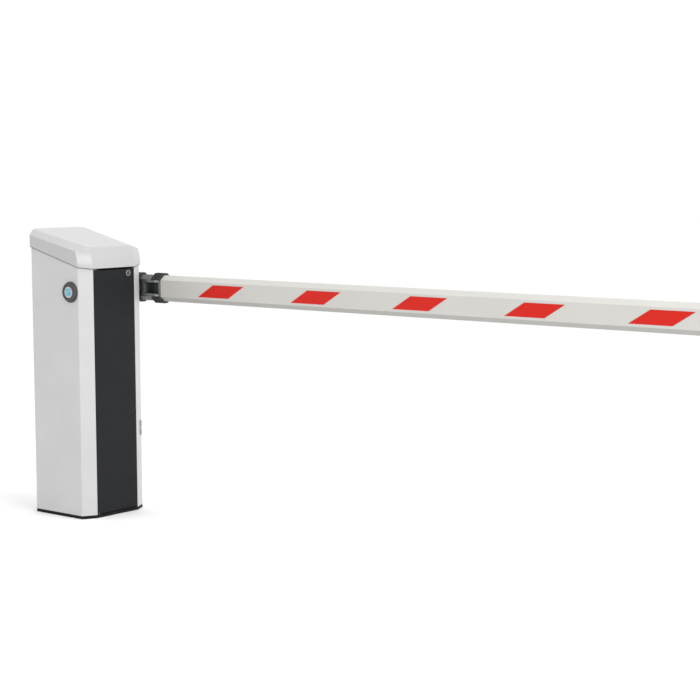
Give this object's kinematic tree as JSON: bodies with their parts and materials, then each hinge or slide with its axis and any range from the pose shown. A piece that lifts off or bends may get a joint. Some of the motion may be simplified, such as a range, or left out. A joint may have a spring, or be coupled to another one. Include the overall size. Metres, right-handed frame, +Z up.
{
  "type": "parking barrier gate",
  "caption": "Vehicle barrier: a grey cabinet with a slanted lift-off hood and black front door, and a long white boom with red slanted markers that swings up on its side.",
  "frame": {"origin": "centre of the anchor bolt pattern, on the ground under the cabinet", "axes": "+X along the lowered boom and away from the cabinet, +Y towards the side that carries the boom, +Z up"},
  "size_m": [3.277, 0.351, 0.912],
  "materials": {
    "cabinet_grey": "fine powder coat",
    "hood_grey": "fine painted moulding",
    "door_black": "satin powder coat",
    "base_black": "matt paint",
    "zinc": "zinc plated",
    "dark_steel": "black oxide",
    "ground_steel": "ground",
    "cast_grey": "dark painted casting",
    "dark_plastic": "moulded",
    "light_plastic": "moulded",
    "boom_white": "light powder coat",
    "marker_red": "retro-reflective film",
    "cap_blue": "printed disc",
    "emblem_metal": "bright",
    "black_rubber": "matt",
    "motor_grey": "enamel",
    "spring_steel": "oiled"
  },
  "bodies": {
    "cabinet": {"housing": "cabinet_grey", "base_plate": "base_black", "hood_seal": "black_rubber", "hinge_block": "zinc", "lock_plate": "dark_plastic", "frame_posts": "zinc", "side_plate_left": "zinc", "side_plate_right": "zinc", "plate_bolts": "zinc", "cross_bars": "ground_steel", "bearing_cases": "cast_grey", "shaft_bearings": "ground_steel", "bearing_screws": "zinc", "shaft_seal": "black_rubber", "gearbox": "cast_grey", "gearbox_shelf": "zinc", "motor": "motor_grey", "motor_fan_cover": "dark_plastic", "terminal_box": "dark_plastic", "spring_beam": "zinc", "guide_rods": "ground_steel", "stop_blocks": "zinc", "stop_buffers": "black_rubber", "cap_ring": "dark_plastic", "cap_disc": "cap_blue", "mounting_plate": "zinc", "din_rails": "zinc", "controller": "dark_plastic", "loop_detector": "light_plastic", "power_supply": "light_plastic", "circuit_breaker": "light_plastic", "terminal_block": "light_plastic"},
    "boom": {"boom": "boom_white", "boom_end_cap": "dark_plastic", "boom_markers": "marker_red", "boom_flange": "cast_grey", "flange_clamps": "cast_grey", "clamp_bolts": "dark_steel", "flange_screw": "zinc", "main_shaft": "ground_steel", "shaft_keys": "dark_steel", "drive_lever": "dark_steel", "lever_pin": "ground_steel", "balance_sector": "dark_steel", "strap_wrap": "spring_steel", "stop_arm": "dark_steel"},
    "crank": {"gearbox_shaft": "ground_steel", "crank_arm": "dark_steel", "crank_pin": "ground_steel"},
    "link": {"connecting_rod": "zinc"},
    "spring_head": {"spring_crosshead": "zinc", "balance_strap": "spring_steel", "balance_springs": "spring_steel"},
    "door": {"front_door": "door_black", "door_pins": "ground_steel", "door_emblem": "emblem_metal"},
    "lock": {"lock_barrel": "ground_steel"},
    "hood": {"hood": "hood_grey"}
  },
  "joints": [
    {"name": "boom_swing", "type": "hinge", "parent": "cabinet", "child": "boom", "pos_m": [0.075, 0, 0.718], "axis": [0, -1, 0], "range_deg": [0, 90]},
    {"name": "crank_turn", "type": "hinge", "parent": "cabinet", "child": "crank", "pos_m": [-0.04, 0.064, 0.56], "axis": [0, -1, 0], "range_deg": [0, 90]},
    {"name": "link_turn", "type": "hinge", "parent": "crank", "child": "link", "pos_m": [-0.04955, 0.076, 0.61416], "axis": [0, -1, 0], "range_deg": [-90, 0]},
    {"name": "spring_slide", "type": "slide", "parent": "cabinet", "child": "spring_head", "axis": [0, 0, -1], "range_m": [0, 0.072], "deforming": ["balance_springs", "balance_strap"]},
    {"name": "door_hinge", "type": "hinge", "parent": "cabinet", "child": "door", "pos_m": [0.1265, -0.0775, 0.4], "axis": [0, 0, -1], "range_deg": [0, 110]},
    {"name": "lock_turn", "type": "hinge", "parent": "cabinet", "child": "lock", "pos_m": [0.11313, 0.1224, 0.264], "axis": [0.8818, 0.4717, 0], "range_deg": [0, 90]},
    {"name": "hood_lift", "type": "slide", "parent": "cabinet", "child": "hood", "axis": [0, 0, 1], "range_m": [0, 0.12]}
  ],
  "couplings": [
    {"joint": "crank_turn", "follows": "boom_swing", "ratio": 1},
    {"joint": "link_turn", "follows": "boom_swing", "ratio": -1},
    {"joint": "spring_slide", "follows": "boom_swing", "m_per_rad": 0.04575}
  ]
}
